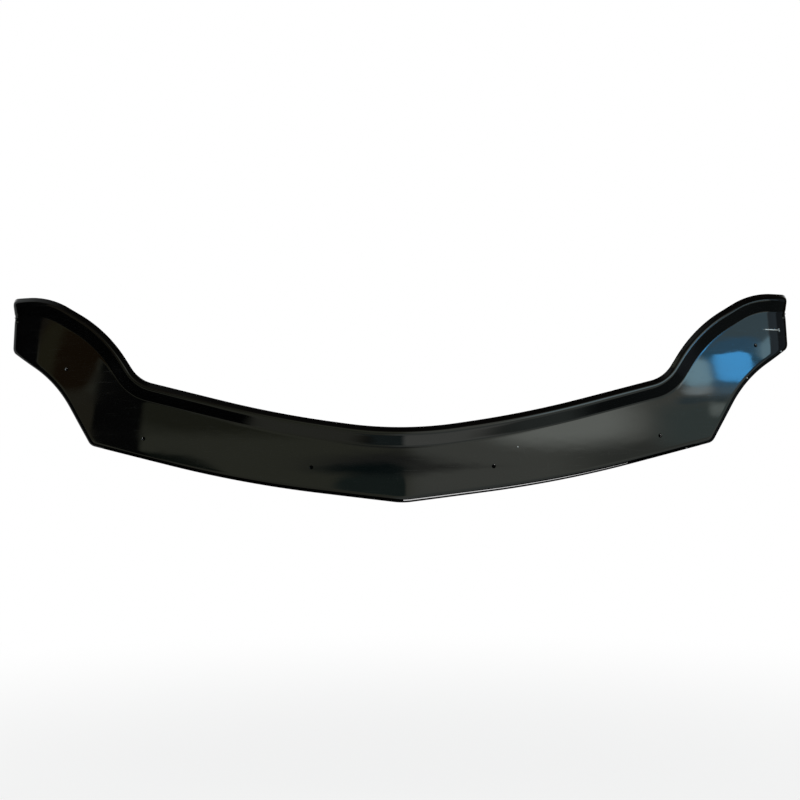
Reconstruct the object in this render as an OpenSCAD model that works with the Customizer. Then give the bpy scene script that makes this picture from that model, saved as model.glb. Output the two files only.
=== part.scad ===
// Hood bug deflector: one bowed and shaped sheet with a brow along its top and a rolled edge below.
// Millimetres. X runs across the car, the outer face looks along -Y, and Z is up.
// The origin is the middle of the line between the two inner screw holes.

/* [Overall] */
// Width from end to end
width = 1400; // [1320:10:1480]
// Thickness of the sheet
sheet = 3; // [2:0.25:4]

/* [Bow of the sheet, seen from above and from the end] */
// Radius of the bow across the hood
bow_radius = 2200; // [1800:50:3000]
// Angle that each half is swept back from the middle
sweep_angle = 3; // [0:0.5:6]
// Length over which the fold in the middle is softened
keel_length = 25; // [5:5:60]
// Radius of the backward lean of the face
lean_radius = 1200; // [900:50:2000]
// Height above the tip at which the face stands upright
upright_height = 40; // [0:5:80]
// Depth by which each end curls back towards the fender
end_curl = 12; // [0:1:20]
// Length of the curled part at each end
end_curl_length = 60; // [40:5:90]

/* [Lower outline, from the middle to the end] */
// Radius of the low point in the middle
tip_radius = 120; // [60:10:300]
// Height of the bottom edge halfway to the corner
bottom_rise = 33; // [24:0.5:38]
// Radius of the bottom edge halfway to the corner
bottom_radius = 2200; // [1200:50:2800]
// Distance of each bottom corner in from the end
corner_in = 156; // [140:2:170]
// Height of the bottom corner
corner_height = 98.5; // [90:0.5:108]
// Radius of the bottom corner
corner_radius = 18; // [12:1:30]
// Distance of the bend under the wing in from the end
wing_bend_in = 90; // [80:1:100]
// Height of the bend under the wing
wing_bend_height = 209; // [200:1:218]
// Radius of the bend under the wing
wing_bend_radius = 320; // [150:10:340]
// Height of the lower corner of the end
end_corner_height = 266.5; // [260:0.5:274]
// Radius of the lower corner of the end
end_corner_radius = 15; // [12:1:20]

/* [Valley under the brow, from the middle to the end] */
// Height of the valley lines where they would meet in the middle
valley_height = 89.5; // [80:0.5:96]
// Radius of the valley in the middle
valley_radius = 700; // [400:50:1000]
// Distance from the middle to the bend of the brow
brow_bend_out = 216; // [190:2:240]
// Height of the bend of the brow
brow_bend_height = 119.5; // [114:0.5:124]
// Radius of the bend of the brow
brow_bend_radius = 1900; // [1000:50:2200]
// Distance of the shoulder in from the end
shoulder_in = 226; // [216:1:236]
// Height of the shoulder
shoulder_height = 184; // [177:1:191]
// Radius of the shoulder
shoulder_radius = 95; // [80:1:110]
// Distance of the bend over the wing in from the end
wing_top_in = 164; // [156:1:172]
// Height of the bend over the wing
wing_top_height = 275; // [268:1:282]
// Radius of the bend over the wing
wing_top_radius = 320; // [240:5:400]
// Distance of the last bend in from the end
end_bend_in = 66; // [60:1:72]
// Radius of the last bend
end_bend_radius = 122; // [90:2:154]
// Height of the valley at the end
end_height = 331.5; // [325:0.5:338]

/* [Brow] */
// Height of the riser from the valley to the ridge
riser_height = 22; // [18:0.5:26]
// Depth by which the ridge stands in front of the face
ridge_depth = 18; // [12:0.5:22]
// Height of the lip from the ridge to the free edge
lip_height = 10; // [8:0.5:12]
// Depth by which the lip falls back from the ridge
lip_fall = 13; // [8:0.5:15]
// Rounding of the lip's corner at each end
lip_corner = 8; // [5:0.5:9]
// Outer radius of the ridge
ridge_radius = 6; // [4.5:0.5:7]
// Outer radius of the valley
valley_bend_radius = 5; // [3:0.5:8]

/* [Rolled lower edge] */
// Outer radius of the rolled edge
edge_radius = 9; // [6:0.5:10]
// Depth of the flange behind the rolled edge
flange_depth = 8; // [4:0.5:14]
// Clear height between the end of the flange and the foot of the brow
flange_relief = 1; // [0.5:0.5:6]

/* [Screw holes] */
// Diameter of each screw hole
hole_diameter = 5; // [4:0.1:6]
// Diameter of the chamfer at its mouth
chamfer_diameter = 7; // [6.4:0.1:8]
// Distance from the middle to each inner hole
inner_hole_out = 154; // [130:1:180]
// Height of the inner holes above the tip
inner_hole_height = 61; // [52:0.5:70]
// Distance of each outer hole in from the bottom corner
outer_hole_in = 98; // [70:1:120]
// Height of the outer holes above the tip
outer_hole_height = 110.5; // [100:0.5:120]
// Distance of the left wing hole in from the end
left_hole_in = 110; // [100:1:120]
// Height of the left wing hole above the tip
left_hole_height = 233; // [222:0.5:240]
// Distance of the right wing hole in from the end
right_hole_in = 69; // [60:1:80]
// Height of the right wing hole above the tip
right_hole_height = 269.5; // [262:0.5:280]

/* [Hidden] */

end_x = width / 2;
corner_x = end_x - corner_in;

// Corner points and radii of the two lines that shape the panel in front view, right half
lower_corners = [
    [corner_x / 2, bottom_rise, bottom_radius],
    [corner_x, corner_height, corner_radius],
    [end_x - wing_bend_in, wing_bend_height, wing_bend_radius],
    [end_x, end_corner_height, end_corner_radius]
];
lower_middle = [0, 0, tip_radius];
valley_corners = [
    [brow_bend_out, brow_bend_height, brow_bend_radius],
    [end_x - shoulder_in, shoulder_height, shoulder_radius],
    [end_x - wing_top_in, wing_top_height, wing_top_radius],
    [end_x - end_bend_in, end_height, end_bend_radius]
];
valley_middle = [0, valley_height, valley_radius];
valley_end = [end_x, end_height, 0];

// Number of facets in the arcs and the straights of the right half, from the middle outwards
middle_arc_cells = 6;
corner_arc_cells = [3, 6, 5, 6];
straight_cells = [5, 6, 3, 3, 6];

// Number of facets across the sheet, from the free edge of the lip to the flange
face_cells = 6;
edge_cells = 5;

// Share of a side that the arc at one of its ends may take
arc_share = 0.48;

// Points and radii of the brow's section: distance above the valley, depth in front of the face, radius
brow_corners = [
    [riser_height + lip_height, ridge_depth - lip_fall, 0],
    [riser_height, ridge_depth, ridge_radius],
    [0, 0, valley_bend_radius],
    [-riser_height, 0, 0]
];
brow_arc_cells = [5, 4];
brow_straight_cells = [2, 2];
brow_path = rounded_path(brow_corners, brow_arc_cells, concat(brow_straight_cells, [1]));
brow = [for (k = [0:len(brow_path) - 2]) brow_path[k]];
lower_end = [end_x, end_height + last(brow).x - flange_relief, 0];

hole_pairs = [
    [[-inner_hole_out, inner_hole_height], [inner_hole_out, inner_hole_height]],
    [[-corner_x + outer_hole_in, outer_hole_height], [corner_x - outer_hole_in, outer_hole_height]],
    [[-end_x + left_hole_in, left_hole_height], [end_x - right_hole_in, right_hole_height]]
];
chamfer_depth = (chamfer_diameter - hole_diameter) / 2;
drill_reach = 8 * sheet;

// How far a cut runs on past the surface
cut_over = 0.5;

function unit(v) = v / norm(v);
function xy(p) = [p.x, p.y];
function last(list) = list[len(list) - 1];
function reversed(list) = [for (i = [len(list) - 1:-1:0]) list[i]];
function mirrored(p) = [-p.x, p.y, p.z];

// Points of the arc that rounds the corner b between a and c, on both tangent points and between them.
// The arc keeps to its own half of the shorter side.
function corner_arc(a, b, c, radius, cells) =
    let (
        to_a = unit(a - b),
        to_c = unit(c - b),
        half_angle = acos(to_a * to_c) / 2,
        turn = 180 - 2 * half_angle,
        cut_back = min(radius / tan(half_angle), arc_share * min(norm(a - b), norm(c - b))),
        centre = b + unit(to_a + to_c) * cut_back / cos(half_angle),
        first_arm = b + to_a * cut_back - centre,
        last_arm = b + to_c * cut_back - centre
    )
    [for (k = [0:cells])
        let (t = k / cells)
        centre + (first_arm * sin((1 - t) * turn) + last_arm * sin(t * turn)) / sin(turn)];

// Points of a path through corners of the form [x, y, radius]. The cells get shorter towards both ends.
function rounded_path(corners, arc_cells, line_cells) =
    let (
        flat = [for (p = corners) xy(p)],
        inner_count = len(corners) - 2,
        stops = [
            [flat[0]],
            for (i = [1:inner_count])
                corner_arc(flat[i - 1], flat[i], flat[i + 1], corners[i].z, arc_cells[i - 1]),
            [last(flat)]
        ]
    )
    [
        stops[0][0],
        for (i = [1:inner_count + 1])
            let (start = last(stops[i - 1]), end = stops[i][0], cells = line_cells[i - 1])
            each [
                for (k = [1:cells])
                    let (
                        t = k / cells,
                        share = i == 1 ? 1 - cos(90 * t) : i > inner_count ? sin(90 * t) : t
                    )
                    start + (end - start) * share,
                for (k = [1:1:len(stops[i]) - 1]) stops[i][k]
            ]
    ];

// A path across both halves, from the left end to the right end
function whole_path(middle, corners, end) =
    let (half = concat(corners, [end]))
    rounded_path(
        concat([for (p = reversed(half)) mirrored(p)], [middle], half),
        concat(reversed(corner_arc_cells), [middle_arc_cells], corner_arc_cells),
        concat(reversed(straight_cells), straight_cells)
    );

// Directions square to a path, to the left of its travel, which is up or into the sheet
function left_of(path) =
    [for (i = [0:len(path) - 1])
        let (along = unit(path[min(i + 1, len(path) - 1)] - path[max(i - 1, 0)]))
        [-along.y, along.x]];

// Depth of the plain bowed sheet behind the tip, at x across and z up
function bow(x, z) =
    let (curl = max(0, abs(x) - end_x + end_curl_length) / end_curl_length)
    x * x / (2 * bow_radius)
    + tan(sweep_angle) * (sqrt(x * x + keel_length * keel_length) - keel_length)
    + pow(z - upright_height, 2) / (2 * lean_radius)
    + end_curl * pow(curl, 3);

// A point of the outer face: its place in front view, and how far it stands in front of the bowed sheet
function lifted(place, relief) = [place.x, bow(place.x, place.y) - relief, place.y];

valley = whole_path(valley_middle, valley_corners, valley_end);
valley_up = left_of(valley);
lower = whole_path(lower_middle, lower_corners, lower_end);
lower_in = left_of(lower);

// A point of the brow's section. The lip gets shorter round its corner at each end of the sheet.
function brow_point(k, x) =
    let (
        root = brow[brow_straight_cells[0]],
        past = min(1, max(0, abs(x) - end_x + lip_corner) / lip_corner),
        shorter = lip_corner * (1 - sqrt(1 - past * past)) / norm(brow[0] - root)
    )
    k < brow_straight_cells[0] ? root + (brow[k] - root) * (1 - shorter) : brow[k];

// A point of the brow or the face, turned back where the sheet rolls round at its ends
function turned_back(place, relief) =
    let (past = min(1, max(0, abs(place.x) - end_x + edge_radius) / edge_radius))
    lifted(place, relief - edge_radius * (1 - sqrt(1 - past * past)));

// One section of the outer face, from the free edge of the lip down to the end of the flange
function section(i) =
    let (
        foot = valley[i] + valley_up[i] * last(brow).x,
        edge = lower[i] + lower_in[i] * edge_radius
    )
    [
        for (k = [0:len(brow) - 1])
            let (p = brow_point(k, valley[i].x))
            turned_back(valley[i] + valley_up[i] * p.x, p.y),
        for (k = [1:face_cells - 1]) turned_back(foot + (edge - foot) * k / face_cells, 0),
        for (k = [0:edge_cells])
            let (turn = 90 * k / edge_cells)
            lifted(lower[i] + lower_in[i] * edge_radius * (1 - sin(turn)), -edge_radius * (1 - cos(turn))),
        lifted(lower[i], -edge_radius - flange_depth)
    ];

outer_face = [for (i = [0:len(valley) - 1]) section(i)];
columns = len(outer_face);
rows = len(outer_face[0]);

// Direction into the sheet at a point of the grid
function inward(i, j) =
    unit(cross(
        outer_face[min(i + 1, columns - 1)][j] - outer_face[max(i - 1, 0)][j],
        outer_face[i][min(j + 1, rows - 1)] - outer_face[i][max(j - 1, 0)]
    ));

inner_face = [for (i = [0:columns - 1]) [for (j = [0:rows - 1]) outer_face[i][j] + sheet * inward(i, j)]];

// The closed skin of the sheet: outer face, inner face and the cut edges round them
module shaped_sheet() {
    inner_start = columns * rows;
    border = [
        for (i = [0:columns - 1]) i * rows,
        for (j = [1:rows - 1]) (columns - 1) * rows + j,
        for (i = [columns - 2:-1:0]) i * rows + rows - 1,
        for (j = [rows - 2:-1:1]) j
    ];
    outer_faces = [
        for (i = [0:columns - 2], j = [0:rows - 2])
            let (a = i * rows + j, b = a + rows)
            each [[a, b, b + 1], [a, b + 1, a + 1]]
    ];
    inner_faces = [for (f = outer_faces) [f.z + inner_start, f.y + inner_start, f.x + inner_start]];
    edge_faces = [
        for (k = [0:len(border) - 1])
            let (a = border[k], b = border[(k + 1) % len(border)])
            each [[a, a + inner_start, b + inner_start], [a, b + inner_start, b]]
    ];
    polyhedron(
        points = [for (column = outer_face) each column, for (column = inner_face) each column],
        faces = concat(outer_faces, inner_faces, edge_faces),
        convexity = 8
    );
}

// Middle of the sheet's thickness at a place on the face
function mid_sheet(place) = lifted(place, -sheet / 2);

// Direction in which both holes of a pair are cut: forwards, and square to the line that joins them
function pair_axis(pair) =
    let (along = unit(mid_sheet(pair[1]) - mid_sheet(pair[0])))
    unit([0, -1, 0] + along.y * along);

// Outward direction square to the face
function face_normal(place) =
    let (step = 1)
    unit(cross(
        lifted(place + [step, 0], 0) - lifted(place, 0),
        lifted(place + [0, step], 0) - lifted(place, 0)
    ));

// Puts its children at a point, with their Z axis along a direction
module aimed(point, direction) {
    translate(point)
        rotate([0, acos(direction.z), atan2(direction.y, direction.x)])
            children();
}

module screw_hole(place, axis) {
    aimed(mid_sheet(place), axis)
        cylinder(h = drill_reach, d = hole_diameter, center = true, $fn = 48);
    aimed(lifted(place, 0), face_normal(place))
        translate([0, 0, -chamfer_depth])
            cylinder(
                h = chamfer_depth + cut_over,
                d1 = hole_diameter,
                d2 = chamfer_diameter + 2 * cut_over,
                $fn = 48
            );
}

origin = (mid_sheet(hole_pairs[0][0]) + mid_sheet(hole_pairs[0][1])) / 2;

module shield() {
    color([0.035, 0.035, 0.04])
        translate(-origin)
            difference() {
                shaped_sheet();
                for (pair = hole_pairs, place = pair) screw_hole(place, pair_axis(pair));
            }
}

shield();
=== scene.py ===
"""Gloss black hood bug deflector: one formed sheet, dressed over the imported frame.

The sheet is laid out from the same named sizes as the solid, in metres, with a
finer mesh so that its reflections run smoothly.
"""

import logging
import math
from dataclasses import dataclass, field
from enum import Enum

import bmesh
import bpy
from mathutils import Matrix, Vector


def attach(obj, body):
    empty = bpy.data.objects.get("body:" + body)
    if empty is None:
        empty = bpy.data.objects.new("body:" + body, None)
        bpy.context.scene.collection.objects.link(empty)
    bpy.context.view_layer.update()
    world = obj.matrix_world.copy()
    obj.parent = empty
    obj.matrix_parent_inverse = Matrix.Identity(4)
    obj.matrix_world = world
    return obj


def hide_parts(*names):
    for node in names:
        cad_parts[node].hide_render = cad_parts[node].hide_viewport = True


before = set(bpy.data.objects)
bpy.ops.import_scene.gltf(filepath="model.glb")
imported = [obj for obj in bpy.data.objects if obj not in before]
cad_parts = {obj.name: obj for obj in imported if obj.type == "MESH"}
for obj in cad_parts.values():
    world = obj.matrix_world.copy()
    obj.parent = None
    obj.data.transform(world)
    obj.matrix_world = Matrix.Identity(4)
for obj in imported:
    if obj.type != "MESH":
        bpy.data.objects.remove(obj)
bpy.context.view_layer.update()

log = logging.getLogger("deflector")

Colour = tuple[float, float, float]
Span = tuple[float, float]

ROUND_CELLS = 40
RIM_TURN = math.radians(50)


@dataclass(frozen=True)
class Corner:
    """One corner of an outline before its arc is laid in."""

    across: float
    up: float
    radius: float = 0.0

    def place(self) -> Vector:
        """The corner's point."""
        return Vector((self.across, self.up))

    def mirrored(self) -> "Corner":
        """The same corner on the other side of the middle."""
        return Corner(-self.across, self.up, self.radius)


@dataclass(frozen=True)
class CellPlan:
    """How many mesh cells each arc and each straight of an outline gets."""

    arcs: tuple[int, ...]
    straights: tuple[int, ...]


@dataclass
class Outline:
    """A path of straights joined by arcs."""

    corners: list[Corner]
    arc_share: float = 0.48

    def arc(self, at: int, cells: int) -> list[Vector]:
        """The points of the arc that rounds one corner.

        Args:
            at: the corner's number in the outline.
            cells: how many cells the arc is cut into.

        Returns:
            cells + 1 points, from the side before the corner to the one after.
        """
        here = self.corners[at].place()
        back = self.corners[at - 1].place() - here
        ahead = self.corners[at + 1].place() - here
        half = back.angle(ahead) / 2
        turn = math.pi - 2 * half
        shorter = min(back.length, ahead.length)
        cut = min(self.corners[at].radius / math.tan(half), self.arc_share * shorter)
        back.normalize()
        ahead.normalize()
        centre = here + (back + ahead).normalized() * cut / math.cos(half)
        first = here + back * cut - centre
        last = here + ahead * cut - centre
        points = []
        for step in range(cells + 1):
            share = step / cells
            lean = math.sin((1 - share) * turn)
            rise = math.sin(share * turn)
            points.append(centre + (first * lean + last * rise) / math.sin(turn))
        return points

    def points(self, plan: CellPlan) -> list[Vector]:
        """The whole path with its arcs and its straights, in cells that get shorter at both ends.

        Args:
            plan: the cells of each arc and straight, in order.

        Returns:
            The path's points, from its first corner to its last.
        """
        inner = range(1, len(self.corners) - 1)
        stops = [[self.corners[0].place()]]
        stops += [self.arc(at, plan.arcs[at - 1]) for at in inner]
        stops.append([self.corners[-1].place()])
        path = list(stops[0])
        for number, cells in enumerate(plan.straights):
            start = stops[number][-1]
            end = stops[number + 1][0]
            for step in range(1, cells + 1):
                share = step / cells
                if number == 0:
                    share = 1 - math.cos(math.pi / 2 * share)
                elif number == len(plan.straights) - 1:
                    share = math.sin(math.pi / 2 * share)
                path.append(start.lerp(end, share))
            path += stops[number + 1][1:]
        return path

    def both_sides(self) -> "Outline":
        """The outline with its mirrored half put before it, sharing the middle corner."""
        left = [corner.mirrored() for corner in reversed(self.corners[1:])]
        return Outline(left + self.corners, self.arc_share)


def left_of(path: list[Vector]) -> list[Vector]:
    """Unit vectors square to a path, on its left side.

    Args:
        path: the path's points, in order.

    Returns:
        One vector for each point.
    """
    sides = []
    for number in range(len(path)):
        ahead = path[min(number + 1, len(path) - 1)]
        behind = path[max(number - 1, 0)]
        along = (ahead - behind).normalized()
        sides.append(Vector((-along.y, along.x)))
    return sides


@dataclass
class FormedFace:
    """The sheet's outer face, from the lip over the brow to the return flange."""

    width: float = 1.4
    bow_radius: float = 2.2
    sweep_angle: float = math.radians(3)
    keel_length: float = 0.025
    lean_radius: float = 1.2
    upright_height: float = 0.04
    end_curl: float = 0.012
    end_curl_length: float = 0.06
    tip_radius: float = 0.12
    bottom_rise: float = 0.033
    bottom_radius: float = 2.2
    corner_in: float = 0.156
    corner_height: float = 0.0985
    corner_radius: float = 0.018
    wing_bend_in: float = 0.09
    wing_bend_height: float = 0.209
    wing_bend_radius: float = 0.32
    end_corner_height: float = 0.2665
    end_corner_radius: float = 0.015
    valley_height: float = 0.0895
    valley_radius: float = 0.7
    brow_bend_out: float = 0.216
    brow_bend_height: float = 0.1195
    brow_bend_radius: float = 1.9
    shoulder_in: float = 0.226
    shoulder_height: float = 0.184
    shoulder_radius: float = 0.095
    wing_top_in: float = 0.164
    wing_top_height: float = 0.275
    wing_top_radius: float = 0.32
    end_bend_in: float = 0.066
    end_bend_radius: float = 0.122
    end_height: float = 0.3315
    riser_height: float = 0.022
    ridge_depth: float = 0.018
    lip_height: float = 0.01
    lip_fall: float = 0.013
    lip_corner: float = 0.008
    ridge_radius: float = 0.006
    valley_bend_radius: float = 0.005
    edge_radius: float = 0.009
    flange_depth: float = 0.008
    flange_relief: float = 0.001
    face_cells: int = 26
    edge_cells: int = 9
    flange_cells: int = 3
    middle_cells: int = 22
    arc_cells: tuple[int, ...] = (12, 20, 22, 20)
    straight_cells: tuple[int, ...] = (30, 32, 12, 12, 18)
    brow_plan: CellPlan = field(default_factory=lambda: CellPlan((10, 7), (5, 6, 1)))

    def bow(self, across: float, up: float) -> float:
        """How far the face lies behind its middle.

        Args:
            across: distance from the middle, to either side.
            up: height above the lower tip.

        Returns:
            The depth, in metres.
        """
        half = self.width / 2
        round_bow = across * across / (2 * self.bow_radius)
        keel = math.hypot(across, self.keel_length) - self.keel_length
        lean = (up - self.upright_height) ** 2 / (2 * self.lean_radius)
        near_end = abs(across) - half + self.end_curl_length
        curl = max(0.0, near_end) / self.end_curl_length
        return round_bow + math.tan(self.sweep_angle) * keel + lean + self.end_curl * curl ** 3

    def lifted(self, place: Vector, relief: float) -> Vector:
        """A point that stands in front of the bowed face.

        Args:
            place: the point as seen from in front.
            relief: how far it stands forwards.

        Returns:
            The point in the part's own layout, with the lower tip as zero.
        """
        return Vector((place.x, self.bow(place.x, place.y) - relief, place.y))

    def turned_back(self, place: Vector, relief: float) -> Vector:
        """A point of the brow or the face, turned back where the sheet rolls round at its ends.

        Args:
            place: the point as seen from in front.
            relief: how far it stands forwards before the roll.

        Returns:
            The point in the part's own layout.
        """
        past = max(0.0, abs(place.x) - self.width / 2 + self.edge_radius) / self.edge_radius
        roll = self.edge_radius * (1 - math.sqrt(1 - min(1.0, past) ** 2))
        return self.lifted(place, relief - roll)

    def half_lower(self) -> Outline:
        """The lower outline from the tip to the right end."""
        half = self.width / 2
        corner_across = half - self.corner_in
        foot_height = self.end_height + self.brow_profile()[-1].x
        return Outline([
            Corner(0, 0, self.tip_radius),
            Corner(corner_across / 2, self.bottom_rise, self.bottom_radius),
            Corner(corner_across, self.corner_height, self.corner_radius),
            Corner(half - self.wing_bend_in, self.wing_bend_height, self.wing_bend_radius),
            Corner(half, self.end_corner_height, self.end_corner_radius),
            Corner(half, foot_height - self.flange_relief),
        ])

    def half_valley(self) -> Outline:
        """The valley under the brow from the middle to the right end."""
        half = self.width / 2
        return Outline([
            Corner(0, self.valley_height, self.valley_radius),
            Corner(self.brow_bend_out, self.brow_bend_height, self.brow_bend_radius),
            Corner(half - self.shoulder_in, self.shoulder_height, self.shoulder_radius),
            Corner(half - self.wing_top_in, self.wing_top_height, self.wing_top_radius),
            Corner(half - self.end_bend_in, self.end_height, self.end_bend_radius),
            Corner(half, self.end_height),
        ])

    def brow_profile(self) -> list[Vector]:
        """The brow's section: height above the valley, and how far forwards."""
        corners = [
            Corner(self.riser_height + self.lip_height, self.ridge_depth - self.lip_fall),
            Corner(self.riser_height, self.ridge_depth, self.ridge_radius),
            Corner(0, 0, self.valley_bend_radius),
            Corner(-self.riser_height, 0),
        ]
        return Outline(corners).points(self.brow_plan)[:-1]

    def brow_at_end(self, brow: list[Vector], across: float) -> list[Vector]:
        """The brow's section with its lip shortened round the corner at the sheet's ends.

        Args:
            brow: the full section.
            across: the section's place along the sheet.

        Returns:
            The section's points, with the same count.
        """
        lip_cells = self.brow_plan.straights[0]
        root = brow[lip_cells]
        past = max(0.0, abs(across) - self.width / 2 + self.lip_corner) / self.lip_corner
        past = min(1.0, past)
        shorter = self.lip_corner * (1 - math.sqrt(1 - past * past))
        share = 1 - shorter / (brow[0] - root).length
        return [root + (point - root) * share for point in brow[:lip_cells]] + brow[lip_cells:]

    def whole_plan(self) -> CellPlan:
        """The cells along an outline from the left end to the right one."""
        arcs = self.arc_cells[::-1] + (self.middle_cells,) + self.arc_cells
        return CellPlan(arcs, self.straight_cells[::-1] + self.straight_cells)

    def section(self, valley: Vector, up: Vector, lower: Vector, inwards: Vector) -> list[Vector]:
        """One section of the sheet, from the lip's free edge to the flange.

        Args:
            valley: the valley's point.
            up: unit vector square to the valley, towards the brow.
            lower: the lower outline's point.
            inwards: unit vector square to the lower outline, into the face.

        Returns:
            The section's points, in the part's own layout.
        """
        brow = self.brow_at_end(self.brow_profile(), valley.x)
        column = [self.turned_back(valley + up * rise.x, rise.y) for rise in brow]
        foot = valley + up * brow[-1].x
        edge = lower + inwards * self.edge_radius
        for step in range(1, self.face_cells):
            column.append(self.turned_back(foot.lerp(edge, step / self.face_cells), 0))
        for step in range(self.edge_cells + 1):
            turn = math.radians(90 * step / self.edge_cells)
            inset = self.edge_radius * (1 - math.sin(turn))
            back = self.edge_radius * (1 - math.cos(turn))
            column.append(self.lifted(lower + inwards * inset, -back))
        for step in range(1, self.flange_cells + 1):
            back = self.edge_radius + self.flange_depth * step / self.flange_cells
            column.append(self.lifted(lower, -back))
        return column

    def columns(self) -> list[list[Vector]]:
        """Every section of the sheet, from the left end to the right one."""
        valley = self.half_valley().both_sides().points(self.whole_plan())
        lower = self.half_lower().both_sides().points(self.whole_plan())
        stations = zip(valley, left_of(valley), lower, left_of(lower))
        return [self.section(*station) for station in stations]


@dataclass(frozen=True)
class HolePair:
    """Two screw holes that one line joins, bored side by side."""

    left: Vector
    right: Vector

    def bore_axis(self, face: FormedFace) -> Vector:
        """The way the pair is bored: forwards, made square to the line that joins them."""
        start = face.lifted(self.left, 0)
        joining = (face.lifted(self.right, 0) - start).normalized()
        forwards = Vector((0, -1, 0))
        return (forwards - joining * forwards.dot(joining)).normalized()


@dataclass
class DrilledSheet:
    """The formed sheet with its wall, its softened rims and its six screw holes."""

    face: FormedFace = field(default_factory=FormedFace)
    name: str = "formed_sheet"
    sheet: float = 0.003
    rim_round: float = 0.0006
    rim_cells: int = 3
    hole_diameter: float = 0.005
    chamfer_diameter: float = 0.007
    mouth_cut: float = 0.0015
    inner_hole_out: float = 0.154
    inner_hole_height: float = 0.061
    outer_hole_out: float = 0.446
    outer_hole_height: float = 0.1105
    left_hole_in: float = 0.11
    left_hole_height: float = 0.233
    right_hole_in: float = 0.069
    right_hole_height: float = 0.2695
    bore_reach: float = 0.012
    # Painted shade: dark discs near the back of the bores, with their name, thickness, depth under the
    # face and overlap into the bore wall.
    painted_shade_name: str = "bore_painted_shade"
    painted_shade: float = 0.0003
    painted_shade_depth: float = 0.0006
    painted_shade_seat: float = 0.0001
    smooth_angle: float = math.radians(32)
    fold_reach: float = 0.012
    fold_height: float = 0.006
    fold_passes: int = 14

    def origin(self) -> Vector:
        """The shared frame's zero: between the inner holes, halfway through the sheet."""
        place = Vector((self.inner_hole_out, self.inner_hole_height))
        middle = self.face.lifted(place, -self.sheet / 2)
        return Vector((0, middle.y, self.inner_hole_height))

    def normal_at(self, place: Vector) -> Vector:
        """The outer face's outward normal.

        Args:
            place: the point as seen from in front.

        Returns:
            A unit vector that points forwards.
        """
        step = 0.001
        across = Vector((step, 0))
        up = Vector((0, step))
        along = self.face.lifted(place + across, 0) - self.face.lifted(place - across, 0)
        rise = self.face.lifted(place + up, 0) - self.face.lifted(place - up, 0)
        return along.cross(rise).normalized()

    def pairs(self) -> list[HolePair]:
        """The three pairs of screw holes: the inner ones, the outer ones and those in the wings."""
        half = self.face.width / 2
        inner = HolePair(
            Vector((-self.inner_hole_out, self.inner_hole_height)),
            Vector((self.inner_hole_out, self.inner_hole_height)),
        )
        outer = HolePair(
            Vector((-self.outer_hole_out, self.outer_hole_height)),
            Vector((self.outer_hole_out, self.outer_hole_height)),
        )
        wing = HolePair(
            Vector((self.left_hole_in - half, self.left_hole_height)),
            Vector((half - self.right_hole_in, self.right_hole_height)),
        )
        return [inner, outer, wing]

    def build(self, gloss: bpy.types.Material, satin: bpy.types.Material) -> bpy.types.Object:
        """Forms, thickens, softens and drills the sheet.

        Args:
            gloss: the finish of the outer face and of the rims.
            satin: the finish of the hidden inner side.

        Returns:
            The finished piece, in the shared frame.
        """
        mesh = self.formed_face()
        mesh.materials.append(gloss)
        mesh.materials.append(satin)
        mesh.materials.append(gloss)
        piece = add_piece(self.name, mesh)
        self.give_wall(piece)
        self.calm_folds(piece)
        self.soften_rims(piece)
        self.drill(piece)
        piece.data.polygons.foreach_set("use_smooth", [True] * len(piece.data.polygons))
        piece.data.set_sharp_from_angle(angle=self.smooth_angle)
        return piece

    def formed_face(self) -> bpy.types.Mesh:
        """The outer face alone: a grid laid on the form."""
        return laid_grid(self.name, self.face.columns(), self.origin())

    def give_wall(self, piece: bpy.types.Object) -> None:
        """Thickens the formed face inwards by the sheet's own thickness.

        Args:
            piece: the formed face, which gets rims of material 2 and an inner side of 1.
        """
        wall = piece.modifiers.new("wall", "SOLIDIFY")
        wall.thickness = self.sheet
        wall.offset = -1.0
        wall.use_even_offset = False
        wall.use_rim = True
        wall.material_offset = 1
        wall.material_offset_rim = 2
        settle(piece, wall)

    def calm_folds(self, piece: bpy.types.Object) -> None:
        """Evens out the tight fold where each end of the brow meets the flange.

        Args:
            piece: the sheet with its wall.
        """
        past = self.face.width / 2 - self.fold_reach
        level = self.face.half_lower().corners[-1].up - self.origin().z
        bm = bmesh.new()
        bm.from_mesh(piece.data)
        outer = [vert for vert in bm.verts if abs(vert.co.x) > past]
        folded = [vert for vert in outer if abs(vert.co.z - level) < self.fold_height]
        for _ in range(self.fold_passes):
            bmesh.ops.smooth_vert(
                bm, verts=folded, factor=0.5, use_axis_x=True, use_axis_y=True, use_axis_z=True)
        bm.to_mesh(piece.data)
        bm.free()

    def soften_rims(self, piece: bpy.types.Object) -> None:
        """Rounds the rim's edges, then gives the rim the outer face's finish.

        Args:
            piece: the sheet with its wall.
        """
        bm = bmesh.new()
        bm.from_mesh(piece.data)
        bm.normal_update()
        bmesh.ops.bevel(
            bm,
            geom=[edge for edge in bm.edges if is_rim_edge(edge)],
            offset=self.rim_round,
            offset_type="OFFSET",
            affect="EDGES",
            segments=self.rim_cells,
            profile=0.5,
            material=-1,
            clamp_overlap=True,
        )
        for face in bm.faces:
            face.material_index = face.material_index % 2
        bm.to_mesh(piece.data)
        bm.free()

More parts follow.
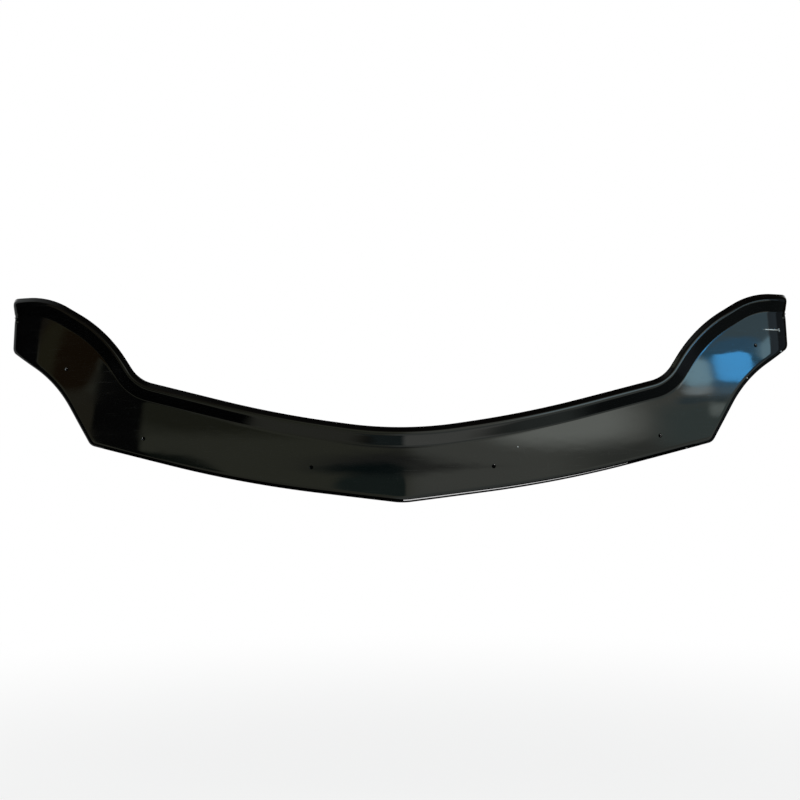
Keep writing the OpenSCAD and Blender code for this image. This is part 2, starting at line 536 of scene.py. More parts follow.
    def drill(self, piece: bpy.types.Object) -> None:
        """Bores the screw holes and opens their mouths with chamfers.

        Args:
            piece: the formed sheet, whose mesh is replaced.
        """
        bores = bmesh.new()
        mouths = bmesh.new()
        zero = self.origin()
        for pair in self.pairs():
            axis = pair.bore_axis(self.face)
            for place in (pair.left, pair.right):
                normal = self.normal_at(place)
                on_face = self.face.lifted(place, 0) - zero
                self.add_bore(bores, on_face - normal * self.sheet / 2, axis)
                self.add_mouth(mouths, on_face, normal)
        for name, bm in (("bores", bores), ("mouths", mouths)):
            cutter_mesh = bpy.data.meshes.new(name)
            bm.to_mesh(cutter_mesh)
            bm.free()
            cutter = bpy.data.objects.new(name, cutter_mesh)
            bpy.context.scene.collection.objects.link(cutter)
            cut_away(piece, cutter)

    def add_bore(self, bm: bmesh.types.BMesh, middle: Vector, axis: Vector) -> None:
        """Adds one bore to the cutters.

        Args:
            bm: the cutters' mesh.
            middle: the bore's place halfway through the sheet.
            axis: the way it is bored.
        """
        add_rod(bm, middle, axis, self.hole_diameter / 2, 2 * self.bore_reach)

    def shade_bores(self, dark: bpy.types.Material) -> bpy.types.Object:
        """Makes the thin dark discs of painted shade that stand in for the darkness behind the screw
        holes.

        Args:
            dark: the discs' finish.

        Returns:
            One piece with a disc near the back of each bore.
        """
        bm = bmesh.new()
        zero = self.origin()
        for pair in self.pairs():
            axis = pair.bore_axis(self.face)
            for place in (pair.left, pair.right):
                on_face = self.face.lifted(place, 0) - zero
                middle = on_face - self.normal_at(place) * (self.sheet - self.painted_shade_depth)
                add_rod(bm, middle, axis, self.hole_diameter / 2 + self.painted_shade_seat, self.painted_shade)
        mesh = bpy.data.meshes.new(self.painted_shade_name)
        bm.to_mesh(mesh)
        bm.free()
        mesh.materials.append(dark)
        return add_piece(self.painted_shade_name, mesh)

    def add_mouth(self, bm: bmesh.types.BMesh, on_face: Vector, normal: Vector) -> None:
        """Adds one chamfered mouth to the cutters.

        Args:
            bm: the cutters' mesh.
            on_face: the hole's place on the outer face.
            normal: the face's outward normal there.
        """
        deep = self.mouth_cut
        wide = self.chamfer_diameter / 2
        turn = normal.to_track_quat("Z", "Y").to_matrix().to_4x4()
        bmesh.ops.create_cone(
            bm,
            cap_ends=True,
            segments=ROUND_CELLS,
            radius1=wide - deep,
            radius2=wide + deep,
            depth=2 * deep,
            matrix=Matrix.Translation(on_face) @ turn,
        )


def laid_grid(name: str, columns: list[list[Vector]], zero: Vector) -> bpy.types.Mesh:
    """A grid with its points laid where the columns say.

    Args:
        name: the mesh's name.
        columns: the points, column by column.
        zero: the point that becomes the frame's zero.

    Returns:
        The new mesh.
    """
    across = len(columns) - 1
    down = len(columns[0]) - 1
    bm = bmesh.new()
    bmesh.ops.create_grid(bm, x_segments=across, y_segments=down, size=1.0)
    for vert in bm.verts:
        column = round((vert.co.x + 1) / 2 * across)
        row = round((1 - vert.co.y) / 2 * down)
        vert.co = columns[column][row] - zero
    mesh = bpy.data.meshes.new(name)
    bm.to_mesh(mesh)
    bm.free()
    return mesh


def is_rim_edge(edge: bmesh.types.BMEdge) -> bool:
    """Whether an edge lies between a rim face and a broad face, or turns a rim's corner."""
    rims = [face.material_index == 2 for face in edge.link_faces]
    if rims.count(True) == 1:
        return True
    return rims.count(True) == 2 and edge.calc_face_angle(0.0) > RIM_TURN


def add_rod(bm: bmesh.types.BMesh, middle: Vector, axis: Vector, radius: float, length: float) -> None:
    """Adds a closed round rod.

    Args:
        bm: the mesh that it goes into.
        middle: its middle.
        axis: the way it points.
        radius: its radius.
        length: its length.
    """
    bmesh.ops.create_cone(
        bm,
        cap_ends=True,
        segments=ROUND_CELLS,
        radius1=radius,
        radius2=radius,
        depth=length,
        matrix=Matrix.Translation(middle) @ axis.to_track_quat("Z", "Y").to_matrix().to_4x4(),
    )


def add_piece(name: str, mesh: bpy.types.Mesh) -> bpy.types.Object:
    """Adds a mesh to the scene as an object at the origin.

    Args:
        name: the object's name.
        mesh: its mesh, already in place.

    Returns:
        The new object.
    """
    piece = bpy.data.objects.new(name, mesh)
    bpy.context.scene.collection.objects.link(piece)
    return piece


def settle(piece: bpy.types.Object, modifier: bpy.types.Modifier) -> None:
    """Replaces a piece's mesh by the one that its modifier makes.

    Args:
        piece: the piece.
        modifier: its only modifier, which is then taken off.
    """
    bpy.context.view_layer.update()
    shaped = piece.evaluated_get(bpy.context.evaluated_depsgraph_get())
    mesh = bpy.data.meshes.new_from_object(shaped)
    piece.modifiers.remove(modifier)
    old = piece.data
    piece.data = mesh
    bpy.data.meshes.remove(old)


def cut_away(piece: bpy.types.Object, cutter: bpy.types.Object) -> None:
    """Takes a cutter's volume out of a piece and removes the cutter.

    Args:
        piece: the piece, whose mesh is replaced by the cut one.
        cutter: closed shapes that don't touch each other.
    """
    cut = piece.modifiers.new("cut", "BOOLEAN")
    cut.operation = "DIFFERENCE"
    cut.solver = "EXACT"
    cut.object = cutter
    settle(piece, cut)
    bpy.data.meshes.remove(cutter.data)


@dataclass
class Wiring:
    """Lays nodes into one node tree."""

    tree: bpy.types.NodeTree

    def feed(self, socket: bpy.types.NodeSocket, value: object) -> None:
        """Links a socket, or sets its value where the value isn't a socket."""
        if isinstance(value, bpy.types.NodeSocket):
            self.tree.links.new(value, socket)
        else:
            socket.default_value = value

    def add(self, kind: str, **settings: object) -> bpy.types.Node:
        """Adds a node and sets its own properties.

        Args:
            kind: the node's type name.
            **settings: property names and values.

        Returns:
            The new node.
        """
        node = self.tree.nodes.new(kind)
        for name, value in settings.items():
            setattr(node, name, value)
        return node

    def sum(self, operation: str, *values: object) -> bpy.types.NodeSocket:
        """One step of arithmetic.

        Args:
            operation: the Math node's operation.
            *values: its inputs, each a number or a socket.

        Returns:
            The result's socket.
        """
        node = self.add("ShaderNodeMath", operation=operation)
        for socket, value in zip(node.inputs, values):
            self.feed(socket, value)
        return node.outputs[0]

    def blend(self, share: object, first: object, second: object) -> bpy.types.NodeSocket:
        """Mixes two colours.

        Args:
            share: how much of the second colour, as a number or a socket.
            first: a colour or a socket.
            second: a colour or a socket.

        Returns:
            The mixed colour's socket.
        """
        node = self.add("ShaderNodeMix", data_type="RGBA")
        self.feed(node.inputs[0], share)
        self.feed(node.inputs[6], first)
        self.feed(node.inputs[7], second)
        return node.outputs[2]

    def ramp(self, value: object, low: float, high: float, start: float, end: float,
             smooth: bool = True) -> bpy.types.NodeSocket:
        """Maps one range of values onto another, held at its ends.

        Args:
            value: the input.
            low: the input that gives start.
            high: the input that gives end.
            start: the result at low.
            end: the result at high.
            smooth: eases in and out where true.

        Returns:
            The mapped value's socket.
        """
        node = self.add("ShaderNodeMapRange")
        node.interpolation_type = "SMOOTHSTEP" if smooth else "LINEAR"
        for name, number in zip(("Value", "From Min", "From Max", "To Min", "To Max"),
                                (value, low, high, start, end)):
            self.feed(node.inputs[name], number)
        return node.outputs[0]

    def noise(self, vector: object, scale: float, detail: float = 2.0,
              roughness: float = 0.5) -> bpy.types.NodeSocket:
        """A noise pattern's value.

        Args:
            vector: the coordinates' socket.
            scale: the pattern's fineness, in cycles a metre.
            detail: how many octaves.
            roughness: how strong the finer octaves are.

        Returns:
            The pattern's socket.
        """
        node = self.add("ShaderNodeTexNoise")
        self.feed(node.inputs["Vector"], vector)
        node.inputs["Scale"].default_value = scale
        node.inputs["Detail"].default_value = detail
        node.inputs["Roughness"].default_value = roughness
        return node.outputs[0]

    def stretched(self, vector: object, scale: Colour, turn: Colour = (0, 0, 0)) -> bpy.types.NodeSocket:
        """Coordinates that are turned and then stretched along their axes."""
        node = self.add("ShaderNodeMapping")
        self.feed(node.inputs["Vector"], vector)
        node.inputs["Rotation"].default_value = turn
        node.inputs["Scale"].default_value = scale
        return node.outputs[0]


def new_group(name: str, inputs: dict[str, str], outputs: dict[str, str]) -> tuple[
        bpy.types.NodeTree, bpy.types.Node, bpy.types.Node]:
    """Starts a shader node group.

    Args:
        name: the group's name.
        inputs: each input's name and socket type.
        outputs: each output's name and socket type.

    Returns:
        The group, its input node and its output node.
    """
    tree = bpy.data.node_groups.new(name, "ShaderNodeTree")
    for label, kind in inputs.items():
        tree.interface.new_socket(name=label, in_out="INPUT", socket_type=kind)
    for label, kind in outputs.items():
        tree.interface.new_socket(name=label, in_out="OUTPUT", socket_type=kind)
    return tree, tree.nodes.new("NodeGroupInput"), tree.nodes.new("NodeGroupOutput")


class MarkKind(Enum):
    """The kinds of small mark on the outer face, scratches and small pale spots, by how ragged their
    rims are.
    """

    SCRATCH = 0.6
    PALE_SPOT = 1.0


@dataclass(frozen=True)
class Mark:
    """One small mark, by its place as seen from in front, in the shared frame."""

    kind: MarkKind
    across: float
    up: float
    half_length: float
    half_width: float
    tilt: float = 0.0


@dataclass(frozen=True)
class Marks:
    """The scratches and small pale spots that the face shows, as one mask."""

    fray_scale: float = 900.0
    fray_depth: float = 0.35
    edge: Span = (0.55, 1.15)
    marks: tuple[Mark, ...] = (
        Mark(MarkKind.SCRATCH, 0.6648, 0.2374, 0.0152, 0.0009, -0.4),
        Mark(MarkKind.SCRATCH, 0.6802, 0.2372, 0.0008, 0.0028),
        Mark(MarkKind.SCRATCH, 0.6600, 0.2378, 0.0070, 0.0005, 1.5),
        # Small pale spots, each given the marks' pale grey colour and added roughness.
        Mark(MarkKind.PALE_SPOT, 0.1957, 0.0328, 0.0009, 0.0007),
        Mark(MarkKind.PALE_SPOT, 0.6826, 0.1985, 0.0016, 0.0013, 35.0),
        Mark(MarkKind.PALE_SPOT, 0.6120, 0.1500, 0.0012, 0.0010, 20.0),
        Mark(MarkKind.PALE_SPOT, 0.4945, 0.0275, 0.0012, 0.0009),
    )

    def group(self) -> bpy.types.NodeTree:
        """One mark's mask: a soft edged bar that lies on the face."""
        tree, start, end = new_group(
            "face_mark",
            {
                "Vector": "NodeSocketVector",
                "Half Length": "NodeSocketFloat",
                "Half Width": "NodeSocketFloat",
                "Fray": "NodeSocketFloat",
            },
            {"Mask": "NodeSocketFloat"},
        )
        wires = Wiring(tree)
        apart = wires.add("ShaderNodeSeparateXYZ")
        wires.feed(apart.inputs[0], start.outputs["Vector"])
        across = wires.sum("ABSOLUTE", apart.outputs[0])
        across = wires.sum("DIVIDE", across, start.outputs["Half Length"])
        up = wires.sum("ABSOLUTE", apart.outputs[2])
        up = wires.sum("DIVIDE", up, start.outputs["Half Width"])
        ripple = wires.noise(start.outputs["Vector"], self.fray_scale, 2.0)
        fray = wires.ramp(ripple, 0.3, 0.7, -self.fray_depth, self.fray_depth)
        ragged = wires.sum("MULTIPLY", fray, start.outputs["Fray"])
        reach = wires.sum("ADD", wires.sum("MAXIMUM", across, up), ragged)
        wires.feed(end.inputs["Mask"], wires.ramp(reach, *self.edge, 1.0, 0.0))
        return tree

    def mask(self, wires: Wiring, vector: object) -> bpy.types.NodeSocket:
        """The strongest of all the marks' masks.

        Args:
            wires: the material's nodes.
            vector: the Object coordinates' socket.

        Returns:
            The mask's socket, from 0 to 1.
        """
        group = self.group()
        total: object = 0.0
        for mark in self.marks:
            placed = wires.add("ShaderNodeMapping", vector_type="TEXTURE")
            wires.feed(placed.inputs["Vector"], vector)
            placed.inputs["Location"].default_value = (mark.across, 0, mark.up)
            placed.inputs["Rotation"].default_value = (0, math.radians(-mark.tilt), 0)
            node = wires.add("ShaderNodeGroup", node_tree=group)
            wires.feed(node.inputs["Vector"], placed.outputs[0])
            node.inputs["Half Length"].default_value = mark.half_length
            node.inputs["Half Width"].default_value = mark.half_width
            node.inputs["Fray"].default_value = mark.kind.value
            total = wires.sum("MAXIMUM", node.outputs["Mask"], total)
        return total


@dataclass(frozen=True)
class MouldedSkin:
    """The moulded skin's detail, shared by the gloss and the satin side."""

    draw_scale: Colour = (5.0, 5.0, 9.0)
    draw_share: float = 0.35
    ripple_scale: Colour = (26.0, 26.0, 60.0)
    ripple_share: float = 0.1
    peel_scale: float = 420.0
    peel_share: float = 0.004
    haze_scale: Colour = (7.0, 7.0, 20.0)
    haze_reach: Span = (0.38, 0.68)
    grain_scale: float = 2600.0
    grain_reach: Span = (0.73, 0.8)
    dusty_scale: float = 14.0
    dusty_reach: Span = (0.45, 0.72)
    hairline_scale: Colour = (18.0, 18.0, 1500.0)
    hairline_turn: Colour = (0, 0.09, 0)
    hairline_reach: Span = (0.7, 0.78)
    crossing_scale: Colour = (900.0, 900.0, 22.0)
    crossing_turn: Colour = (0, -0.2, 0)
    crossing_reach: Span = (0.74, 0.8)
    crossing_share: float = 0.7

    def group(self) -> bpy.types.NodeTree:
        """The node group: height, haze, dust and hairlines over the surface."""
        tree, start, end = new_group(
            "moulded_skin",
            {"Vector": "NodeSocketVector"},
            {
                "Height": "NodeSocketFloat",
                "Haze": "NodeSocketFloat",
                "Dust": "NodeSocketFloat",
                "Hairlines": "NodeSocketFloat",
            },
        )
        wires = Wiring(tree)
        vector = start.outputs["Vector"]
        wires.feed(end.inputs["Height"], self.height(wires, vector))
        haze = wires.noise(wires.stretched(vector, self.haze_scale), 1.0, 4.0, 0.6)
        wires.feed(end.inputs["Haze"], wires.ramp(haze, *self.haze_reach, 0.0, 1.0))
        wires.feed(end.inputs["Dust"], self.dust(wires, vector))
        wires.feed(end.inputs["Hairlines"], self.hairlines(wires, vector))
        return tree

    def height(self, wires: Wiring, vector: bpy.types.NodeSocket) -> bpy.types.NodeSocket:
        """The unevenness: slow draw of the sheet, ripple and a fine peel.

        Args:
            wires: the group's nodes.
            vector: the coordinates' socket.

        Returns:
            The height's socket.
        """
        draw = wires.noise(wires.stretched(vector, self.draw_scale), 1.0, 2.0)
        ripple = wires.noise(wires.stretched(vector, self.ripple_scale), 1.0, 1.0)
        peel = wires.noise(vector, self.peel_scale, 2.0)
        slow = wires.sum("MULTIPLY", draw, self.draw_share)
        middle = wires.sum("MULTIPLY", ripple, self.ripple_share)
        fine = wires.sum("MULTIPLY", peel, self.peel_share)
        return wires.sum("ADD", wires.sum("ADD", slow, middle), fine)

    def dust(self, wires: Wiring, vector: bpy.types.NodeSocket) -> bpy.types.NodeSocket:
        """Grains of dust that lie in patches.

        Args:
            wires: the group's nodes.
            vector: the coordinates' socket.

        Returns:
            The dust mask's socket.
        """
        grains = wires.noise(vector, self.grain_scale, 1.0)
        patches = wires.ramp(wires.noise(vector, self.dusty_scale, 3.0), *self.dusty_reach, 0.0, 1.0)
        specks = wires.ramp(grains, *self.grain_reach, 0.0, 1.0)
        return wires.sum("MULTIPLY", specks, patches)

    def hairlines(self, wires: Wiring, vector: bpy.types.NodeSocket) -> bpy.types.NodeSocket:
        """Fine scratches along the sheet, and fewer ones across it.

        Args:
            wires: the group's nodes.
            vector: the coordinates' socket.

        Returns:
            The hairline mask's socket.
        """
        along = wires.stretched(vector, self.hairline_scale, self.hairline_turn)
        across = wires.stretched(vector, self.crossing_scale, self.crossing_turn)
        thin = wires.ramp(wires.noise(along, 1.0, 1.0), *self.hairline_reach, 0.0, 1.0)
        crossing = wires.ramp(
            wires.noise(across, 1.0, 1.0), *self.crossing_reach, 0.0, self.crossing_share)
        return wires.sum("MAXIMUM", thin, crossing)


@dataclass(frozen=True)
class BlackPlastic:
    """Black moulded plastic with polish haze, dust, hairlines and a faint unevenness."""

    name: str
    low_roughness: float
    high_roughness: float
    colour: Colour = (0.0012, 0.0012, 0.0013)
    worn_colour: Colour = (0.002, 0.002, 0.0021)
    dust_colour: Colour = (0.09, 0.09, 0.088)
    mark_colour: Colour = (0.62, 0.63, 0.64)
    hairline_share: float = 0.12
    dust_share: float = 0.5
    mark_roughness: float = 0.4
    bump_depth: float = 0.00045
    ior: float = 1.5
    marks: Marks | None = None

    def build(self, skin: bpy.types.NodeTree) -> bpy.types.Material:
        """Makes the material.

        Args:
            skin: the moulded skin's node group.

        Returns:
            The finished material.
        """
        material = bpy.data.materials.new(self.name)
        material.use_nodes = True
        wires = Wiring(material.node_tree)
        shader = material.node_tree.nodes["Principled BSDF"]
        place = wires.add("ShaderNodeTexCoord").outputs["Object"]
        detail = wires.add("ShaderNodeGroup", node_tree=skin)
        wires.feed(detail.inputs["Vector"], place)
        colour = wires.blend(detail.outputs["Haze"], (*self.colour, 1), (*self.worn_colour, 1))
        hairs = wires.sum("MULTIPLY", detail.outputs["Hairlines"], self.hairline_share)
        colour = wires.blend(hairs, colour, (*self.dust_colour, 1))
        dust = wires.sum("MULTIPLY", detail.outputs["Dust"], self.dust_share)
        colour = wires.blend(dust, colour, (*self.dust_colour, 1))
        rough = wires.ramp(detail.outputs["Haze"], 0, 1, self.low_roughness, self.high_roughness)
        rough = wires.sum("ADD", rough, hairs)
        rough = wires.sum("ADD", rough, dust)
        if self.marks:
            # Scratches and small pale spots: a pale grey colour and added roughness.
            mark_mask = self.marks.mask(wires, place)
            colour = wires.blend(mark_mask, colour, (*self.mark_colour, 1))
            rough = wires.sum("ADD", rough, wires.sum("MULTIPLY", mark_mask, self.mark_roughness))
        bump = wires.add("ShaderNodeBump")
        bump.inputs["Strength"].default_value = 1.0
        bump.inputs["Distance"].default_value = self.bump_depth
        wires.feed(bump.inputs["Height"], detail.outputs["Height"])
        wires.feed(shader.inputs["Base Color"], colour)
        wires.feed(shader.inputs["Roughness"], rough)
        wires.feed(shader.inputs["Normal"], bump.outputs[0])
        shader.inputs["IOR"].default_value = self.ior
        return material


@dataclass(frozen=True)
class RoomLight:
    """One bright or dark patch of the room, by its direction from the object, in degrees.

    Attributes:
        name: the node's label.
        azimuth: its middle, to the right of the way that the sheet faces.
        elevation: its middle, over the level.
        half_width: from its middle to its side.
        half_height: from its middle to its top.
        softness: the share of its size over which its rim fades.
        colour: its light.
        boxiness: 2 for an oval, and more for squarer corners.
    """

    name: str
    azimuth: float
    elevation: float
    half_width: float
    half_height: float
    softness: float
    colour: Colour
    boxiness: float = 4.0


@dataclass(frozen=True)
class Room:
    """What the gloss mirrors: a dim left side, a paler right side, a window, white behind."""

    left_tone: Colour = (0.4, 0.42, 0.31)
    right_tone: Colour = (0.86, 0.9, 0.8)
    side_left_tone: Colour = (0.24, 0.25, 0.25)
    side_right_tone: Colour = (0.014, 0.01, 0.007)
    back_tone: Colour = (0.6, 0.6, 0.6)
    white: Colour = (1.0, 1.0, 1.0)
    middle_turn: Span = (-3.0, 10.0)
    side_turn: Span = (98.0, 112.0)
    back_turn: Span = (140.0, 150.0)
    back_level: Span = (30.0, 40.0)
    side_lean: Span = (-0.6, 0.05)
    patches: tuple[RoomLight, ...] = (
        RoomLight("ceiling", 0, 80, 200, 22, 0.08, (0.06, 0.05, 0.04)),
        RoomLight("dark_high", 88, 52, 42, 20, 0.1, (0.014, 0.01, 0.007)),
        RoomLight("upper_window", 33, 29, 13, 12, 0.3, (2.1, 2.9, 3.2)),
        RoomLight("upper_left", -50, 40, 30, 20, 0.2, (0.12, 0.1, 0.07)),
        RoomLight("floor", 0, -78, 200, 22, 0.08, (0.05, 0.05, 0.04)),
        RoomLight("low_left", -40, -32, 50, 25, 0.1, (0.34, 0.35, 0.27)),
        RoomLight("low_right", 30, -32, 36, 26, 0.15, (0.6, 0.66, 0.62)),
        RoomLight("riser_right", 22, -68, 38, 13, 0.2, (0.85, 0.88, 0.82)),
        RoomLight("riser_far", 70, -54, 11, 10, 0.4, (0.3, 0.35, 0.33)),
        RoomLight("riser_left", -50, -62, 22, 9, 0.3, (0.33, 0.34, 0.28)),
        RoomLight("riser_middle", -16, -70, 20, 10, 0.3, (0.13, 0.18, 0.18)),
        RoomLight("left_wall_high", -26, 14, 15, 7.5, 0.2, (0.19, 0.2, 0.13)),
        RoomLight("right_low", 39, 1.3, 10, 3.2, 0.5, (0.52, 0.56, 0.5)),
        RoomLight("right_glow", 27, 8.5, 9.2, 4.2, 0.5, (2.35, 2.5, 2.3), 2.5),
        RoomLight("right_far", 48, 7, 9, 4.2, 0.3, (0.6, 0.78, 0.74)),
        RoomLight("shadow_soft", -3, 0.9, 13, 2.5, 0.5, (0.2, 0.21, 0.19), 2.0),
        RoomLight("shadow_point", 4, 0.2, 12, 1.1, 0.6, (0.3, 0.31, 0.28), 1.2),
        RoomLight("shadow_foot", -6, -4.2, 8.0, 3.2, 0.12, (0.13, 0.2, 0.18)),
        RoomLight("shadow_core", -6, 0.0, 9.5, 1.3, 0.5, (0.03, 0.07, 0.07), 1.6),
        RoomLight("low_shadow", -37.5, -2, 9.2, 4.9, 0.12, (0.05, 0.07, 0.05), 2.0),
        RoomLight("black_post", -41.8, 5, 3.3, 20, 0.14, (0.015, 0.015, 0.012)),
        RoomLight("side_foot", -48, 8, 3.2, 6, 0.1, (0.23, 0.21, 0.14)),
        RoomLight("brown_door", -49.6, 20, 4.2, 6.6, 0.12, (0.1, 0.055, 0.015)),
        RoomLight("door_edge", -52.4, 18.5, 1.3, 7, 0.4, (0.2, 0.18, 0.09)),
        RoomLight("black_side", -80, 0, 25.5, 58, 0.02, (0.004, 0.004, 0.004)),
        RoomLight("dark_right", 96, -8, 34, 48, 0.06, (0.05, 0.06, 0.06)),
        RoomLight("end_wall", 70, 16, 9, 13, 0.4, (0.32, 0.42, 0.5)),
        RoomLight("end_dark", 92, 10, 14, 24, 0.12, (0.1, 0.12, 0.14)),
        RoomLight("blind", 53, 24, 9, 4.2, 0.12, (0.7, 1.1, 1.3)),
        RoomLight("pane_frame", 50.5, 17, 4.6, 3.6, 0.1, (0.4, 1.2, 1.9)),
        RoomLight("reveal", 57.5, 14.6, 5.2, 2.8, 0.15, (0.28, 0.42, 0.5)),
        RoomLight("blue_haze", 51.0, 20.2, 3.4, 1.4, 0.4, (0.5, 1.25, 2.0), 2.0),
        RoomLight("side_pane", 58, 18.8, 4.2, 1.5, 0.25, (1.9, 3.2, 3.9)),
        RoomLight("blue_pane", 50.0, 16.8, 2.5, 2.5, 0.04, (1.15, 5.8, 12.0), 6.0),
        RoomLight("pale_pane", 45.0, 16.3, 1.8, 2.4, 0.12, (2.8, 4.8, 5.8)),
        RoomLight("sill", 44.8, 13.2, 1.9, 0.5, 0.4, (3.2, 3.7, 3.8)),
        RoomLight("far_sill", 49.5, 12.9, 2.8, 0.7, 0.4, (0.95, 1.6, 2.1)),
        RoomLight("sill_shadow", 45.2, 11.6, 3.4, 0.6, 0.3, (0.45, 0.65, 0.72)),
        RoomLight("pale_streak", 46.9, 9.7, 1.1, 1.1, 0.5, (1.7, 2.0, 1.9)),
    )

    def patch_group(self) -> bpy.types.NodeTree:
        """One patch's mask by direction."""
        tree, start, end = new_group(
            "room_patch",
            {
                "Azimuth": "NodeSocketFloat",
                "Elevation": "NodeSocketFloat",
                "Centre Azimuth": "NodeSocketFloat",
                "Centre Elevation": "NodeSocketFloat",
                "Half Width": "NodeSocketFloat",
                "Half Height": "NodeSocketFloat",
                "Softness": "NodeSocketFloat",
                "Boxiness": "NodeSocketFloat",
            },
            {"Mask": "NodeSocketFloat"},
        )
        wires = Wiring(tree)
        given = start.outputs
        across = wires.sum("SUBTRACT", given["Azimuth"], given["Centre Azimuth"])
        across = wires.sum("DIVIDE", wires.sum("ABSOLUTE", across), given["Half Width"])
        up = wires.sum("SUBTRACT", given["Elevation"], given["Centre Elevation"])
        up = wires.sum("DIVIDE", wires.sum("ABSOLUTE", up), given["Half Height"])
        across = wires.sum("POWER", across, given["Boxiness"])
        up = wires.sum("POWER", up, given["Boxiness"])
        root = wires.sum("DIVIDE", 1.0, given["Boxiness"])
        reach = wires.sum("POWER", wires.sum("ADD", across, up), root)
        low = wires.sum("SUBTRACT", 1.0, given["Softness"])
        high = wires.sum("ADD", 1.0, given["Softness"])
        wires.feed(end.inputs["Mask"], wires.ramp(reach, low, high, 1.0, 0.0))
        return tree

    def front(self, wires: Wiring, azimuth: bpy.types.NodeSocket,
              elevation: bpy.types.NodeSocket) -> bpy.types.NodeSocket:
        """What stands before the sheet: both halves of the room and every patch laid over them.

        Args:
            wires: the world's nodes.
            azimuth: the direction's turn to the right, in degrees.
            elevation: its height over the level, in degrees.

        Returns:
            The colour's socket.
        """
        half = wires.ramp(azimuth, *self.middle_turn, 0.0, 1.0)
        colour: object = wires.blend(half, (*self.left_tone, 1), (*self.right_tone, 1))
        group = self.patch_group()
        for patch in self.patches:
            node = wires.add("ShaderNodeGroup", node_tree=group, label=patch.name)
            wires.feed(node.inputs["Azimuth"], azimuth)
            wires.feed(node.inputs["Elevation"], elevation)
            node.inputs["Centre Azimuth"].default_value = patch.azimuth
            node.inputs["Centre Elevation"].default_value = patch.elevation
            node.inputs["Half Width"].default_value = patch.half_width
            node.inputs["Half Height"].default_value = patch.half_height
            node.inputs["Softness"].default_value = patch.softness
            node.inputs["Boxiness"].default_value = patch.boxiness
            colour = wires.blend(node.outputs["Mask"], colour, (*patch.colour, 1))
        return colour

    def build(self) -> None:
        """Makes the world: white to the camera, this room to everything else."""
        world = bpy.data.worlds.new("studio_room")
        bpy.context.scene.world = world
        world.use_nodes = True
        world.node_tree.nodes.clear()
        wires = Wiring(world.node_tree)
        apart = wires.add("ShaderNodeSeparateXYZ")
        wires.feed(apart.inputs[0], wires.add("ShaderNodeTexCoord").outputs["Generated"])
        sideways = apart.outputs[0]
        forwards = wires.sum("MULTIPLY", apart.outputs[1], -1.0)
        azimuth = wires.sum("DEGREES", wires.sum("ARCTAN2", sideways, forwards))
        elevation = wires.sum("DEGREES", wires.sum("ARCSINE", apart.outputs[2]))
        around = wires.sum("ABSOLUTE", azimuth)
        level = wires.sum("ABSOLUTE", elevation)
        side_share = wires.ramp(sideways, *self.side_lean, 0.0, 1.0)
        side = wires.blend(side_share, (*self.side_left_tone, 1), (*self.side_right_tone, 1))
        turned = wires.ramp(around, *self.back_turn, 0.0, 1.0)
        behind = wires.sum("MULTIPLY", turned, wires.ramp(level, *self.back_level, 1.0, 0.0))
        rays = wires.add("ShaderNodeLightPath")
        mirrored = wires.sum("ADD", rays.outputs["Is Glossy Ray"], rays.outputs["Is Transmission Ray"])
        mirrored_back = wires.sum("MULTIPLY", mirrored, behind)
        backdrop = wires.sum("ADD", rays.outputs["Is Camera Ray"], mirrored_back)
        backdrop = wires.sum("MINIMUM", backdrop, 1.0)
        colour = self.front(wires, azimuth, elevation)
        colour = wires.blend(wires.ramp(around, *self.side_turn, 0.0, 1.0), colour, side)
        colour = wires.blend(behind, colour, (*self.back_tone, 1))
        colour = wires.blend(backdrop, colour, (*self.white, 1))
        light = wires.add("ShaderNodeBackground")
        wires.feed(light.inputs["Color"], colour)
        light.inputs["Strength"].default_value = 1.0
        wires.feed(wires.add("ShaderNodeOutputWorld").inputs["Surface"], light.outputs[0])


@dataclass(frozen=True)
class Lamp:
    """One rectangular area lamp that the camera doesn't see."""

    name: str
    place: Colour
    aim: Colour
    long_side: float
    short_side: float
    power: float
    mirrored: bool

    def hang(self) -> None:
        """Adds the lamp, turned to what it aims at."""
        light = bpy.data.lights.new(self.name, "AREA")
        light.shape = "RECTANGLE"
        light.size = self.long_side
        light.size_y = self.short_side
        light.energy = self.power
        holder = bpy.data.objects.new(self.name, light)
        bpy.context.scene.collection.objects.link(holder)
        place = Vector(self.place)
        holder.location = place
        holder.rotation_euler = (Vector(self.aim) - place).to_track_quat("-Z", "Y").to_euler()
        holder.visible_glossy = self.mirrored
        holder.visible_camera = False


